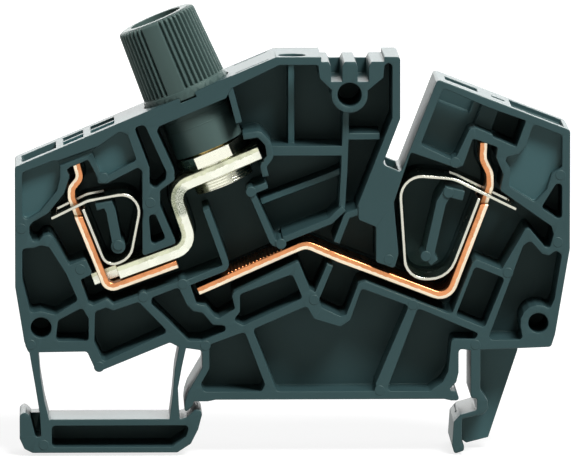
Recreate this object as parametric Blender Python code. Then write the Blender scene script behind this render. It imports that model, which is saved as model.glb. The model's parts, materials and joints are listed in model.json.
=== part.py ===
"""Fuse terminal block for a 35 mm top-hat rail: an open ribbed moulding, its clamps and a screw-in fuse cap.

X runs along the block, Y across it from the open side to the back, Z up. The origin is the middle of
the flat seat that rests on the rail. Lengths are in millimetres and outlines are (x, z) points.
"""

import math

import bmesh
import bpy
from mathutils import Matrix, Vector

MM = 0.001

# Moulding
BODY_WIDTH = 12.0
FRONT = -BODY_WIDTH / 2
BACK = BODY_WIDTH / 2
RIB = 0.8
THICK_RIB = 1.2
RIB_BEND = 0.6
RIB_DROP = 0.15
SUNK_RIB_DROP = 1.7
LOW_RIB_DROP = 5.0
CORNER_ROUND = 0.45
SMALL_POCKET_DEPTH = 8.0
LOW_POCKET_DEPTH = 6.4
RIGHT_PANEL_DEPTH = 5.8
RIGHT_STEP_DEPTH = 4.0
SHALLOW_PANEL_DEPTH = 1.6
TIP_GROOVE_WIDTH = 0.62
TIP_GROOVE_DEPTH = 0.6
FOOT_WIDTH = 8.4
WEB_WIDTH = 6.5
HOOK_WEB_WIDTH = 3.4
WIRE_THROAT_LOW = -2.9
WIRE_THROAT_HIGH = 2.1
OVERLAP = 0.6

# Metal strips and their fit in the moulding
CLEARANCE = 0.3
CONTACT_GAP = 0.2
STRIP_WIDTH = 8.7
COPPER = 1.0
COPPER_BEND = 1.8
COPPER_TIGHT_BEND = 1.1
TINNED = 1.6
TINNED_BEND = 2.1
SPRING_STRIP = 0.4
LEFT_SPRING_BEND = 2.4
RIGHT_SPRING_BEND = 3.4
WINDOW_RAIL = 1.25
TRACK_DEPTH = 0.5
TAB_WIDTH = 3.0
TAB_LENGTH = 3.4
FOOT_OVERLAP = 10.7

# Fuse cap and its thread
FLANGE_DIAMETER = 11.0
FLANGE_HEIGHT = 1.1
CAP_HEIGHT = 10.3
CAP_TOP_DIAMETER = 10.0
CAP_FOOT_DIAMETER = 10.7
CAP_EDGE = 0.6
RECESS_DIAMETER = 6.6
RECESS_DEPTH = 2.6
BORE_END = 5.8
FLUTES = 48
PANEL_FLUTES = 3
FLUTE_DEPTH = 0.28
STEM_DIAMETER = 8.8
THREAD_DIAMETER = 6.2
SLEEVE_WALL = 0.4
SLEEVE_IN_STEM = 4.0
NUT_ACROSS_FLATS = STRIP_WIDTH - 2 * CLEARANCE
NUT_HEIGHT = 1.5
COLLAR_WALL = 0.35
COLLAR_BELOW_BAR = 1.4
FLANGE_SINK = 0.5
SEAT_GAP = 0.2
SOCKET_DEPTH = 10.35
DISC_RIM = 0.6
DISC_BOSS = 1.2
SPRING_WIRE = 0.5
SPRING_TURNS = 5
STEPS_PER_TURN = 14
TURNED_STEPS = 48
FINE_STEP = 15

# Cross positions that several pieces share
CAP_Y = -0.4
STRIP_FRONT = CAP_Y - STRIP_WIDTH / 2
STRIP_BACK = CAP_Y + STRIP_WIDTH / 2
CHAMBER_FLOOR = STRIP_BACK + CLEARANCE - TRACK_DEPTH
WINDOW_WIDTH = STRIP_WIDTH - 2 * WINDOW_RAIL
TIP_WIDTH = WINDOW_WIDTH - 2 * CLEARANCE

# Corners of the outline that other features are measured from
LEFT_SHOULDER = (-39.7, 29.2)
TOWER_LEFT = (-7.3, 42.8)
TOWER_RIGHT = (8.1, 42.8)
RIGHT_PEAK = (12.7, 40.0)
RIGHT_SHOULDER = (29.2, 33.6)
CAP_ALONG_SLOPE = 23.1

# Straight runs and bends of the metal strips
SOCKET_LEG = ((-19.5, 24.4), (-17.7, 19.1))
SOCKET_TAB_END = (-30.1, 14.6)
PLATE_ENDS = (-4.0, 5.6)
LEFT_BAR_TIP = [(-32.1, 29.4), (-31.6, 27.5), (-32.7, 26.2)]
LEFT_LEG = ((-32.7, 25.0), (-28.3, 14.0))
FUSE_CONTACT = [(-17.0, 13.4), (-3.6, 19.3)]
RIGHT_RUN = ((0.6, 17.5), (10.5, 13.7))
RIGHT_LEG = ((15.3, 15.4), (19.4, 26.2))
RIGHT_BAR_TIP = [(19.4, 27.9), (18.5, 29.7), (18.6, 31.8)]
LEFT_SPRING_TOP = [(-35.2, 22.6), (-30.7, 24.8), (-23.7, 26.1)]
LEFT_SPRING_SIDE = (-25.4, 17.5)
RIGHT_SPRING_TOP = [(22.6, 23.6), (14.8, 27.4), (8.0, 28.0)]
RIGHT_SPRING_FOLD = (8.9, 14.9)
LEFT_TIP_ZONE = [(-36.0, 22.8), (-29.0, 22.8), (-29.0, 32.0), (-36.0, 32.0)]
RIGHT_TIP_ZONE = [(15.0, 24.2), (23.0, 24.2), (23.0, 34.0), (15.0, 34.0)]

parts = None
cutters = None


def start_scene():
    """Empty the scene and make the two collections."""
    global parts, cutters
    for obj in list(bpy.data.objects):
        bpy.data.objects.remove(obj)
    parts = bpy.data.collections.new("fuse_terminal_block")
    cutters = bpy.data.collections.new("cutters")
    bpy.context.scene.collection.children.link(parts)
    bpy.context.scene.collection.children.link(cutters)


def material(name, colour, roughness, metallic):
    """A Principled material in one plain colour."""
    made = bpy.data.materials.new(name)
    made.use_nodes = True
    shader = made.node_tree.nodes["Principled BSDF"]
    shader.inputs["Base Color"].default_value = (*colour, 1.0)
    shader.inputs["Roughness"].default_value = roughness
    shader.inputs["Metallic"].default_value = metallic
    return made


def add_object(name, bm, collection):
    """Put a bmesh, given in millimetres, into the scene in metres."""
    bmesh.ops.recalc_face_normals(bm, faces=bm.faces)
    bmesh.ops.scale(bm, vec=(MM, MM, MM), verts=bm.verts)
    mesh = bpy.data.meshes.new(name)
    bm.to_mesh(mesh)
    bm.free()
    obj = bpy.data.objects.new(name, mesh)
    collection.objects.link(obj)
    if collection == cutters:
        obj.hide_render = True
        obj.display_type = "WIRE"
    return obj


def boolean(target, tool, operation):
    """Join a tool to a target or cut it out, with the exact solver."""
    modifier = target.modifiers.new(f"{operation.lower()} {tool.name}", "BOOLEAN")
    modifier.operation = operation
    modifier.solver = "EXACT"
    modifier.object = tool


def cut(target, tool):
    """Take a tool's shape out of a target."""
    boolean(target, tool, "DIFFERENCE")


def join(target, tool):
    """Add a tool's shape to a target."""
    boolean(target, tool, "UNION")


def rounded(points, radius, closed=True, step_angle=30):
    """The same outline with each corner turned into an arc, as far as its edges leave room."""
    result = []
    count = len(points)
    for index, point in enumerate(points):
        if not closed and index in (0, count - 1):
            result.append(point)
            continue
        corner = Vector(point)
        back = Vector(points[index - 1]) - corner
        ahead = Vector(points[(index + 1) % count]) - corner
        opening = back.angle(ahead)
        if opening > math.radians(165):
            result.append(point)
            continue
        setback = radius / math.tan(opening / 2)
        setback = min(setback, 0.45 * back.length, 0.45 * ahead.length)
        arc_radius = setback * math.tan(opening / 2)
        start = corner + back.normalized() * setback
        bisector = (back.normalized() + ahead.normalized()).normalized()
        centre = corner + bisector * arc_radius / math.sin(opening / 2)
        sweep = math.pi - opening
        side = 1 if back.x * ahead.y - back.y * ahead.x > 0 else -1
        steps = max(2, round(sweep / math.radians(step_angle)))
        spoke = start - centre
        for step in range(steps + 1):
            angle = -side * sweep * step / steps
            turned_spoke = Vector((
                spoke.x * math.cos(angle) - spoke.y * math.sin(angle),
                spoke.x * math.sin(angle) + spoke.y * math.cos(angle),
            ))
            result.append(tuple(centre + turned_spoke))
    return result


def strip(path, thickness, bend=0.0, step_angle=30):
    """Outline of a strip of even thickness along a path, its bends rounded at the middle line."""
    middle = rounded(path, bend, False, step_angle) if bend else path
    line = [Vector(point) for point in middle]
    left = []
    right = []
    for index, point in enumerate(line):
        before = (point - line[index - 1]).normalized() if index else None
        after = (line[index + 1] - point).normalized() if index < len(line) - 1 else None
        along = before if after is None else after if before is None else (before + after).normalized()
        across = Vector((-along.y, along.x))
        stretch = 1.0
        if before is not None and after is not None:
            stretch = 1.0 / max(0.5, along.dot(after))
        left.append(tuple(point + across * thickness / 2 * stretch))
        right.append(tuple(point - across * thickness / 2 * stretch))
    return left + right[::-1]


def circle(centre, radius, steps=24):
    """Outline of a circle."""
    turns = [2 * math.pi * step / steps for step in range(steps)]
    return [(centre[0] + radius * math.cos(turn), centre[1] + radius * math.sin(turn)) for turn in turns]


def arc(centre, radius, start, end, steps):
    """Points on a circle between two angles in degrees."""
    points = []
    for step in range(steps + 1):
        angle = math.radians(start + (end - start) * step / steps)
        points.append((centre[0] + radius * math.cos(angle), centre[1] + radius * math.sin(angle)))
    return points


def prism(name, outlines, front, back, collection):
    """One object of upright outlines, each extruded from front to back across the block."""
    bm = bmesh.new()
    for outline in outlines:
        verts = [bm.verts.new((x, front, z)) for x, z in outline]
        face = bm.faces.new(verts)
        made = bmesh.ops.extrude_face_region(bm, geom=[face])
        moved = [item for item in made["geom"] if isinstance(item, bmesh.types.BMVert)]
        bmesh.ops.translate(bm, vec=(0, back - front, 0), verts=moved)
    return add_object(name, bm, collection)


def pockets(name, outlines, depth, radius=CORNER_ROUND):
    """Cutter for pockets that open at the front and end at a depth."""
    shapes = [rounded(outline, radius) for outline in outlines]
    return prism(name, shapes, FRONT - 1, FRONT + depth, cutters)


def slope_angle(start, end):
    """Slope of the line from start to end, in radians."""
    return math.atan2(end[1] - start[1], end[0] - start[0])


def on_slope(start, end, along, up=0.0):
    """Point at a distance along the line from start to end, and at a height above it."""
    angle = slope_angle(start, end)
    x = start[0] + along * math.cos(angle) - up * math.sin(angle)
    z = start[1] + along * math.sin(angle) + up * math.cos(angle)
    return x, z


def meeting(start, end, other_start, other_end):
    """Where two straight lines in the outline's plane meet."""
    line = Vector(end) - Vector(start)
    other = Vector(other_end) - Vector(other_start)
    gap = Vector(other_start) - Vector(start)
    share = (gap.x * other.y - gap.y * other.x) / (line.x * other.y - line.y * other.x)
    return tuple(Vector(start) + line * share)


def on_cap_axis(up, aside=0.0):
    """Point beside the cap's axis, at a height above the sloping top face."""
    return on_slope(LEFT_SHOULDER, TOWER_LEFT, CAP_ALONG_SLOPE + aside, up)


# Metal strips: each path is the middle of the strip's thickness

def socket_bar_path():
    """Plate under the nut, an S-bend and a foot that lies on the left clamp bar."""
    plate_start, plate_end = [on_cap_axis(-SOCKET_DEPTH, aside) for aside in PLATE_ENDS]
    bend = meeting(plate_end, plate_start, *SOCKET_LEG)
    return [plate_end, bend, SOCKET_LEG[1], SOCKET_TAB_END]


def left_bar_path():
    """Crimped tip, leg beside the wire and a foot under the socket bar's foot."""
    tinned_foot, tinned_tab = socket_bar_path()[2:]
    drop = -(TINNED + COPPER) / 2 - CONTACT_GAP
    foot_end = on_slope(tinned_tab, tinned_foot, FOOT_OVERLAP, drop)
    foot_start = on_slope(tinned_tab, tinned_foot, 0.0, drop)
    corner = meeting(*LEFT_LEG, foot_start, foot_end)
    return [*LEFT_BAR_TIP, LEFT_LEG[0], corner, foot_end]


def right_bar_path():
    """Fuse contact, a raised bend, the long run, the leg beside the wire and the crimped tip."""
    corner = meeting(*RIGHT_RUN, *RIGHT_LEG)
    return [*FUSE_CONTACT, RIGHT_RUN[0], corner, RIGHT_LEG[1], *RIGHT_BAR_TIP]


def left_spring_path():
    """Loop that rests on the socket bar's foot; its short leg lies along the left bar's leg."""
    tinned_foot, tinned_tab = socket_bar_path()[2:]
    leg_top, corner = left_bar_path()[3:5]
    beside_leg = -(COPPER + SPRING_STRIP) / 2 - CONTACT_GAP
    above_foot = (TINNED + SPRING_STRIP) / 2 + CONTACT_GAP
    leg_start = on_slope(corner, leg_top, 3.0, beside_leg)
    leg_end = on_slope(corner, leg_top, 10.5, beside_leg)
    rest_start = on_slope(tinned_tab, tinned_foot, 2.0, above_foot)
    rest_end = on_slope(tinned_tab, tinned_foot, 6.0, above_foot)
    right_fold = meeting(LEFT_SPRING_TOP[-1], LEFT_SPRING_SIDE, rest_start, rest_end)
    left_fold = meeting(leg_start, leg_end, rest_start, rest_end)
    return [*LEFT_SPRING_TOP, right_fold, left_fold, leg_end]


def right_spring_path():
    """Loop beside the cross wall; its short leg lies along the right bar's leg."""
    corner, leg_top = right_bar_path()[3:5]
    beside_leg = (COPPER + SPRING_STRIP) / 2 + CONTACT_GAP
    leg_start = on_slope(corner, leg_top, 5.0, beside_leg)
    leg_end = on_slope(corner, leg_top, 13.2, beside_leg)
    left_fold = RIGHT_SPRING_FOLD
    right_fold = meeting(left_fold, (left_fold[0] + 1, left_fold[1]), leg_start, leg_end)
    return [*RIGHT_SPRING_TOP, left_fold, right_fold, leg_end]


def left_clamp_bar():
    """Copper L with a narrow tip for the spring's window and a slot for the socket bar's tab."""
    outline = strip(left_bar_path(), COPPER, COPPER_TIGHT_BEND, FINE_STEP)
    bar = prism("left_clamp_bar", [outline], STRIP_FRONT, STRIP_BACK, parts)
    narrow_tip(bar, LEFT_TIP_ZONE)
    tinned_foot, tinned_tab = socket_bar_path()[2:]
    slot_path = [on_slope(tinned_tab, tinned_foot, along) for along in (-0.6, 4.2)]
    slot = strip(slot_path, TINNED + 2 * CONTACT_GAP)
    half = TAB_WIDTH / 2 + CLEARANCE
    cut(bar, prism("left bar slot", [slot], CAP_Y - half, CAP_Y + half, cutters))
    return bar


def narrow_tip(bar, outline):
    """Cut both edges of a bar inside an outline, so that its tip passes a spring's window."""
    for side, start in (("front", CAP_Y - STRIP_WIDTH), ("back", CAP_Y + TIP_WIDTH / 2)):
        end = start + STRIP_WIDTH - TIP_WIDTH / 2
        cut(bar, prism(f"{bar.name} {side} of tip", [outline], start, end, cutters))


def socket_bar():
    """Tinned bar: plate with the thread's hole, S-bend, foot and narrow tab."""
    path = socket_bar_path()
    bar = prism("socket_bar", [strip(path, TINNED, TINNED_BEND, FINE_STEP)], STRIP_FRONT, STRIP_BACK, parts)
    tab_path = [on_slope(path[3], path[2], along) for along in (-1.0, TAB_LENGTH)]
    outline = strip(tab_path, TINNED + 2)
    for side, start in (("front", CAP_Y - STRIP_WIDTH), ("back", CAP_Y + TAB_WIDTH / 2)):
        end = start + STRIP_WIDTH - TAB_WIDTH / 2
        cut(bar, prism(f"socket bar {side} of tab", [outline], start, end, cutters))
    cut(bar, axis_cylinder("collar hole in bar", collar_radius() + CONTACT_GAP, -SOCKET_DEPTH - TINNED,
                           -SOCKET_DEPTH + TINNED))
    return bar


def right_current_bar():
    """Copper bar with a sloping contact under the fuse and a narrow tip."""
    outline = strip(right_bar_path(), COPPER, COPPER_BEND, FINE_STEP)
    bar = prism("right_current_bar", [outline], STRIP_FRONT, STRIP_BACK, parts)
    narrow_tip(bar, RIGHT_TIP_ZONE)
    return bar


def clamp_spring(name, path, bend, window_end):
    """Spring strip folded into a loop, with a window in the end that the wire and the bar pass."""
    spring = prism(name, [strip(path, SPRING_STRIP, bend, FINE_STEP)], STRIP_FRONT, STRIP_BACK, parts)
    start = Vector(path[0])
    along = (Vector(path[1]) - start).normalized()
    window = [tuple(start + along * 0.8), tuple(start + along * window_end)]
    outline = strip(window, SPRING_STRIP + 1.6)
    half = WINDOW_WIDTH / 2
    cut(spring, prism(f"{name} window", [outline], CAP_Y - half, CAP_Y + half, cutters))
    return spring


# Pieces on the cap's axis

def thread_hole_radius():
    """Radius of the holes that the threaded sleeve passes."""
    return THREAD_DIAMETER / 2 + CLEARANCE


def collar_radius():
    """Outer radius of the nut's collar, which passes the bar."""
    return thread_hole_radius() + COLLAR_WALL


def place_on_axis(obj):
    """Stand an object, modelled upright round its own Z axis, on the cap's axis."""
    x, z = on_cap_axis(0)
    obj.location = (x * MM, CAP_Y * MM, z * MM)
    obj.rotation_euler = (0, -slope_angle(LEFT_SHOULDER, TOWER_LEFT), 0)


def axis_cylinder(name, radius, bottom, top, steps=TURNED_STEPS):
    """Cutter for a round hole on the cap's axis, between two heights above the sloping face."""
    bm = bmesh.new()
    matrix = Matrix.Translation((0, 0, (bottom + top) / 2))
    bmesh.ops.create_cone(bm, cap_ends=True, segments=steps, radius1=radius, radius2=radius,
                          depth=top - bottom, matrix=matrix)
    cutter = add_object(name, bm, cutters)
    place_on_axis(cutter)
    return cutter


def turned(name, profile, collection):
    """Solid turned from a closed (radius, height) profile that runs down its outer side."""
    bm = bmesh.new()
    corners = [bm.verts.new((radius, 0, height)) for radius, height in profile]
    pairs = list(zip(corners, corners[1:]))
    if profile[0][0] > 0 or profile[-1][0] > 0:
        pairs.append((corners[-1], corners[0]))
    edges = [bm.edges.new(pair) for pair in pairs]
    bmesh.ops.spin(bm, geom=corners + edges, axis=(0, 0, 1), cent=(0, 0, 0), steps=TURNED_STEPS,
                   angle=2 * math.pi, use_merge=True)
    bmesh.ops.remove_doubles(bm, verts=bm.verts, dist=0.00001)
    obj = add_object(name, bm, collection)
    place_on_axis(obj)
    return obj


def socket_nut():
    """Hexagon nut on the socket bar, one flat towards the open side; its collar passes the bar."""
    height = cap_heights()
    bottom = height["nut_foot"]
    radius = NUT_ACROSS_FLATS / math.sqrt(3)
    bm = bmesh.new()
    matrix = (Matrix.Translation((0, 0, bottom + NUT_HEIGHT / 2))
              @ Matrix.Rotation(math.pi / 6, 4, "Z"))
    bmesh.ops.create_cone(bm, cap_ends=True, segments=6, radius1=radius, radius2=radius,
                          depth=NUT_HEIGHT, matrix=matrix)
    nut = add_object("socket_nut", bm, parts)
    place_on_axis(nut)
    join(nut, axis_cylinder("collar", collar_radius(), height["collar_foot"], bottom + NUT_HEIGHT / 2))
    cut(nut, axis_cylinder("thread hole", thread_hole_radius(), height["collar_foot"] - 1,
                           bottom + NUT_HEIGHT + 1))
    return nut


def cap_heights():
    """Heights above the sloping face of the cap's, the sleeve's and the nut's shoulders."""
    flange_foot = -FLANGE_SINK
    nut_foot = -SOCKET_DEPTH + TINNED / 2 + CONTACT_GAP
    stem_foot = nut_foot + NUT_HEIGHT + CLEARANCE
    collar_foot = -SOCKET_DEPTH - TINNED / 2 - COLLAR_BELOW_BAR
    return {
        "flange_foot": flange_foot,
        "flange_top": flange_foot + FLANGE_HEIGHT,
        "top": flange_foot + CAP_HEIGHT,
        "stem_foot": stem_foot,
        "nut_foot": nut_foot,
        "collar_foot": collar_foot,
        "sleeve_foot": collar_foot + CONTACT_GAP,
        "sleeve_top": stem_foot + SLEEVE_IN_STEM,
        "bore_top": flange_foot + CAP_HEIGHT - BORE_END,
    }


def fuse_cap():
    """Fluted cap with its flange, hollow stem and round recess in the top."""
    height = cap_heights()
    stem = STEM_DIAMETER / 2
    bore = thread_hole_radius()
    flange = FLANGE_DIAMETER / 2
    recess = RECESS_DIAMETER / 2
    recess_floor = height["top"] - RECESS_DEPTH
    edge_centre = (CAP_TOP_DIAMETER / 2 - CAP_EDGE, height["top"] - CAP_EDGE)
    profile = [
        (0, recess_floor),
        (recess, recess_floor),
        (recess, height["top"]),
        *arc(edge_centre, CAP_EDGE, 90, 0, 3),
        (CAP_FOOT_DIAMETER / 2, height["flange_top"]),
        (flange, height["flange_top"]),
        (flange, height["flange_foot"]),
        (stem, height["flange_foot"]),
        (stem, height["stem_foot"]),
        (bore, height["stem_foot"]),
        (bore, height["bore_top"]),
        (0, height["bore_top"]),
    ]
    cap = turned("fuse_cap", profile, parts)
    cut(cap, flute_cutter(height))
    return cap


def panel_angle():
    """Direction of the plain panel between the flutes, a little to the left of the open side."""
    return math.radians(-90 - 11.5)


def flute_cutter(height):
    """Square bars set on edge round the cap, each cutting one V-shaped flute."""
    bm = bmesh.new()
    foot = CAP_FOOT_DIAMETER / 2
    top = CAP_TOP_DIAMETER / 2
    length = height["top"] - height["flange_top"] + 1
    lean = math.atan2(foot - top, height["top"] - height["flange_top"])
    step = 2 * math.pi / FLUTES
    for index in range(FLUTES - PANEL_FLUTES):
        angle = panel_angle() + step * (index + (PANEL_FLUTES + 1) / 2)
        middle = Vector(((foot + top) / 2, 0, height["flange_top"] + 0.15 + length / 2))
        matrix = (Matrix.Rotation(angle, 4, "Z") @ Matrix.Translation(middle)
                  @ Matrix.Rotation(-lean, 4, "Y"))
        bmesh.ops.create_cone(bm, cap_ends=True, segments=4, radius1=FLUTE_DEPTH, radius2=FLUTE_DEPTH,
                              depth=length, matrix=matrix)
    cutter = add_object("flutes", bm, cutters)
    place_on_axis(cutter)
    return cutter


def cap_contact_sleeve():
    """Threaded brass tube in the stem, through the nut and the bar."""
    height = cap_heights()
    outer = THREAD_DIAMETER / 2
    inner = outer - SLEEVE_WALL
    profile = [(inner, height["sleeve_top"]), (outer, height["sleeve_top"]),
               (outer, height["sleeve_foot"] + 0.3), (outer - 0.25, height["sleeve_foot"]),
               (inner, height["sleeve_foot"])]
    return turned("cap_contact_sleeve", profile, parts)


def cap_contact_disc():
    """Contact that rests on the sleeve's upper end and reaches down to the fuse."""
    height = cap_heights()
    rim = THREAD_DIAMETER / 2
    boss = rim - SLEEVE_WALL - CLEARANCE
    foot = height["sleeve_top"] + CONTACT_GAP
    profile = [(0, foot + DISC_RIM), (rim, foot + DISC_RIM), (rim, foot), (boss, foot),
               (boss, foot - DISC_BOSS), (0, foot - DISC_BOSS)]
    return turned("cap_contact_disc", profile, parts)


def cap_pressure_spring():
    """Compression spring between the contact disc and the end of the cap's bore."""
    height = cap_heights()
    low = height["sleeve_top"] + CONTACT_GAP + DISC_RIM + CONTACT_GAP + SPRING_WIRE / 2
    high = height["bore_top"] - CONTACT_GAP - SPRING_WIRE / 2
    radius = (THREAD_DIAMETER - SPRING_WIRE) / 2 - CONTACT_GAP
    steps = SPRING_TURNS * STEPS_PER_TURN
    curve = bpy.data.curves.new("pressure spring wire", "CURVE")
    curve.dimensions = "3D"
    curve.bevel_depth = SPRING_WIRE / 2 * MM
    curve.bevel_resolution = 1
    curve.use_fill_caps = True
    spline = curve.splines.new("POLY")
    spline.points.add(steps)
    for index, point in enumerate(spline.points):
        angle = 2 * math.pi * index / STEPS_PER_TURN
        rise = low + (high - low) * index / steps
        point.co = (radius * math.cos(angle) * MM, radius * math.sin(angle) * MM, rise * MM, 1)
    wire = bpy.data.objects.new("pressure spring wire", curve)
    parts.objects.link(wire)
    bm = bmesh.new()
    bm.from_mesh(bpy.data.meshes.new_from_object(wire))
    bpy.data.objects.remove(wire)
    bmesh.ops.remove_doubles(bm, verts=bm.verts, dist=0.000001)
    bmesh.ops.scale(bm, vec=(1 / MM, 1 / MM, 1 / MM), verts=bm.verts)
    spring = add_object("cap_pressure_spring", bm, parts)
    place_on_axis(spring)
    return spring


# Moulding: walls are walked clockwise as seen from the open side

BODY_OUTLINE = [
    LEFT_SHOULDER, TOWER_LEFT, TOWER_RIGHT, (8.1, 35.1), (5.9, 29.4), (8.2, 28.4), RIGHT_PEAK,
    RIGHT_SHOULDER, (29.2, 18.8), (27.4, 8.1), (26.9, 6.5), (16.9, 6.1), (15.4, 6.3), (15.4, 3.3),
    (15.1, 2.1), (14.1, 1.1), (15.1, 1.0), (15.6, -0.2), (14.5, -0.2), (13.6, 0.0), (-14.8, 0.0),
    (-15.8, -0.2), (-17.6, -0.2), (-17.6, -0.6), (-18.8, -1.9), (-18.6, -0.1), (-18.2, 1.1),
    (-16.5, 4.0), (-16.5, 6.2), (-19.3, 6.6), (-20.5, 7.2), (-28.8, 3.8), (-29.3, 3.5), (-29.8, 3.9),
    (-30.8, 6.1), (-38.1, 6.0), (-38.6, 7.4), (-39.7, 14.2),
]

LEFT_CLAMP_WALL = [
    (-32.9, 28.0), (-33.3, 28.9), (-30.6, 30.1), (-29.5, 27.9), (-29.4, 27.1), (-28.3, 27.1),
    (-24.4, 29.1), (-23.9, 28.6), (-23.9, 18.0),
]
SOCKET_WALL = [(-19.7, 19.6), (-21.7, 24.2), (-21.7, 26.2), (-19.9, 27.5), (-19.9, 28.5), (-22.1, 33.6),
               (-21.8, 34.2), (-13.5, 37.7), (-12.9, 38.9)]
TOWER_WALL = [(-6.9, 41.8), (-2.1, 41.8), (-1.9, 40.1), (0.3, 38.0), (3.3, 38.0),
              (6.0, 40.2), (6.1, 41.7), (6.6, 42.1), (7.1, 41.7), (7.1, 35.2)]
CROSS_WALL = [(2.9, 24.5), (2.9, 22.5), (5.1, 21.6), (5.1, 17.2), (7.4, 16.4), (7.9, 18.2), (7.3, 24.6),
              (9.4, 30.9)]
RIGHT_CLAMP_WALL = [
    (15.1, 28.9), (15.9, 29.2), (17.1, 32.6), (20.2, 31.5), (20.0, 30.2), (20.9, 28.1), (20.5, 26.1),
    (26.9, 21.6), (27.2, 20.6), (26.7, 18.9), (26.1, 19.0), (24.1, 21.4), (23.6, 21.2), (20.7, 16.2),
    (17.6, 17.5), (17.1, 17.1), (14.6, 10.8),
]
BAR_FLOOR = [
    (14.1, 10.7), (3.8, 14.8), (2.9, 14.5), (1.4, 10.6), (0.7, 10.4), (-1.6, 11.5), (-2.4, 13.4),
    (-3.1, 13.8), (-4.5, 17.2), (-4.8, 17.2), (-12.5, 13.5), (-12.8, 13.0), (-12.4, 11.4),
    (-14.4, 10.2), (-14.9, 10.4), (-16.0, 11.8), (-17.2, 12.0), (-18.0, 14.5), (-18.4, 15.1),
]
LEFT_CLAMP_FLOOR = [
    (-19.2, 14.9), (-27.5, 12.0), (-28.3, 12.7), (-30.0, 11.9), (-30.6, 12.1), (-31.6, 15.1),
    (-30.1, 15.8), (-31.0, 17.7), (-33.0, 16.9), (-35.0, 20.4), (-35.5, 20.8), (-36.2, 20.6),
    (-36.8, 19.9), (-37.5, 19.9), (-37.9, 20.8), (-37.9, 21.8), (-37.5, 22.3), (-35.6, 23.4),
    (-33.6, 25.9),
]

SMALL_POCKETS = [
    [(-24.9, 34.1), (-23.6, 34.4), (-20.9, 28.5), (-21.0, 27.6), (-22.3, 26.4), (-23.0, 27.0), (-23.0, 29.0)],
    [(-23.1, 23.1), (-22.3, 23.3), (-21.0, 20.2), (-22.8, 19.3)],
    [(-38.8, 19.0), (-37.3, 19.1), (-36.5, 19.4), (-35.5, 19.2), (-33.4, 15.9), (-31.9, 12.5),
     (-34.7, 10.7), (-36.6, 11.2), (-37.8, 10.9), (-38.8, 15.0)],
    [(-34.4, 10.0), (-31.4, 11.6), (-30.6, 10.2), (-30.6, 7.4), (-34.7, 7.4)],
    [(-29.8, 11.1), (-28.4, 11.6), (-27.5, 11.2), (-24.4, 12.3), (-20.7, 8.5), (-28.8, 4.8), (-29.9, 7.2)],
    [(-22.8, 12.8), (-19.4, 14.1), (-18.4, 11.9), (-17.6, 11.1), (-16.4, 10.9), (-15.2, 9.4),
     (-13.6, 9.3), (-13.6, 8.6), (-16.5, 7.4), (-18.2, 7.4), (-22.8, 12.0)],
    [(-11.8, 13.2), (-5.3, 15.7), (-4.0, 12.7), (-11.4, 9.3), (-12.7, 9.9), (-11.8, 11.0)],
    [(17.4, 16.6), (21.1, 15.1), (18.6, 8.9), (15.0, 10.4)],
    [(23.4, 19.2), (24.3, 19.8), (25.7, 18.2), (26.6, 17.9), (27.5, 18.6), (28.2, 18.0), (27.3, 12.5),
     *arc((25.3, 9.5), 2.25, 50, 190, 6), (23.4, 7.4), (19.0, 7.4)],
    [(27.5, 27.0), (28.2, 26.8), (28.2, 22.2), (25.6, 23.9)],
]
LOW_POCKETS = [
    [(-15.6, 6.9), (-11.2, 8.5), (-8.7, 1.9), (-9.1, 1.0), (-16.3, 1.0), (-16.7, 1.9), (-15.6, 3.9)],
    [(-10.2, 8.8), (-3.5, 11.7), (-2.6, 10.1), (0.7, 9.1), (1.9, 9.9), (3.3, 13.9), (9.2, 11.7),
     (5.1, 2.0), (5.1, 1.0), (-7.2, 1.0)],
    [(10.3, 11.4), (17.9, 8.2), (17.4, 7.5), (14.5, 7.5), (14.1, 3.5), (13.4, 2.1), (11.8, 1.0), (6.4, 1.0)],
]
SHALLOW_PANELS = [
    [(-38.8, 28.5), (-34.6, 30.1), (-34.1, 29.4), (-34.1, 27.8), (-34.5, 26.2), (-36.6, 23.6),
     (-38.2, 22.6), (-38.8, 23.0)],
    [(-30.2, 31.1), (-26.7, 33.6), (-25.7, 33.2), (-24.6, 30.0), (-28.4, 28.0), (-29.0, 28.2)],
    [(24.6, 34.4), (28.2, 33.0), (28.2, 29.0), (26.9, 28.2), (26.3, 26.2), (24.8, 24.6), (21.6, 26.6),
     (21.8, 28.8), (20.9, 30.2), (22.8, 30.6), (23.7, 31.6)],
]
RIGHT_PANEL = [(13.4, 38.9), (18.5, 36.7), (17.4, 33.9), (16.7, 33.8), (15.1, 30.4), (14.4, 30.0), (10.6, 31.8)]
RIGHT_STEP = [(18.2, 36.8), (20.8, 35.8), (19.7, 33.0), (17.1, 34.1)]
RIGHT_WELL = [(20.6, 35.9), (23.7, 34.8), (22.5, 31.5), (19.5, 32.8)]

TIP_GROOVE = [(-35.2, 29.3), (-29.3, 31.45)]

LOCATING_HOLES = [((-36.5, 9.1), 1.3), ((25.3, 9.5), 1.25), ((1.8, 38.1), 1.5)]
COMB_BOSS = ((1.8, 38.1), 2.27)

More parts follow.
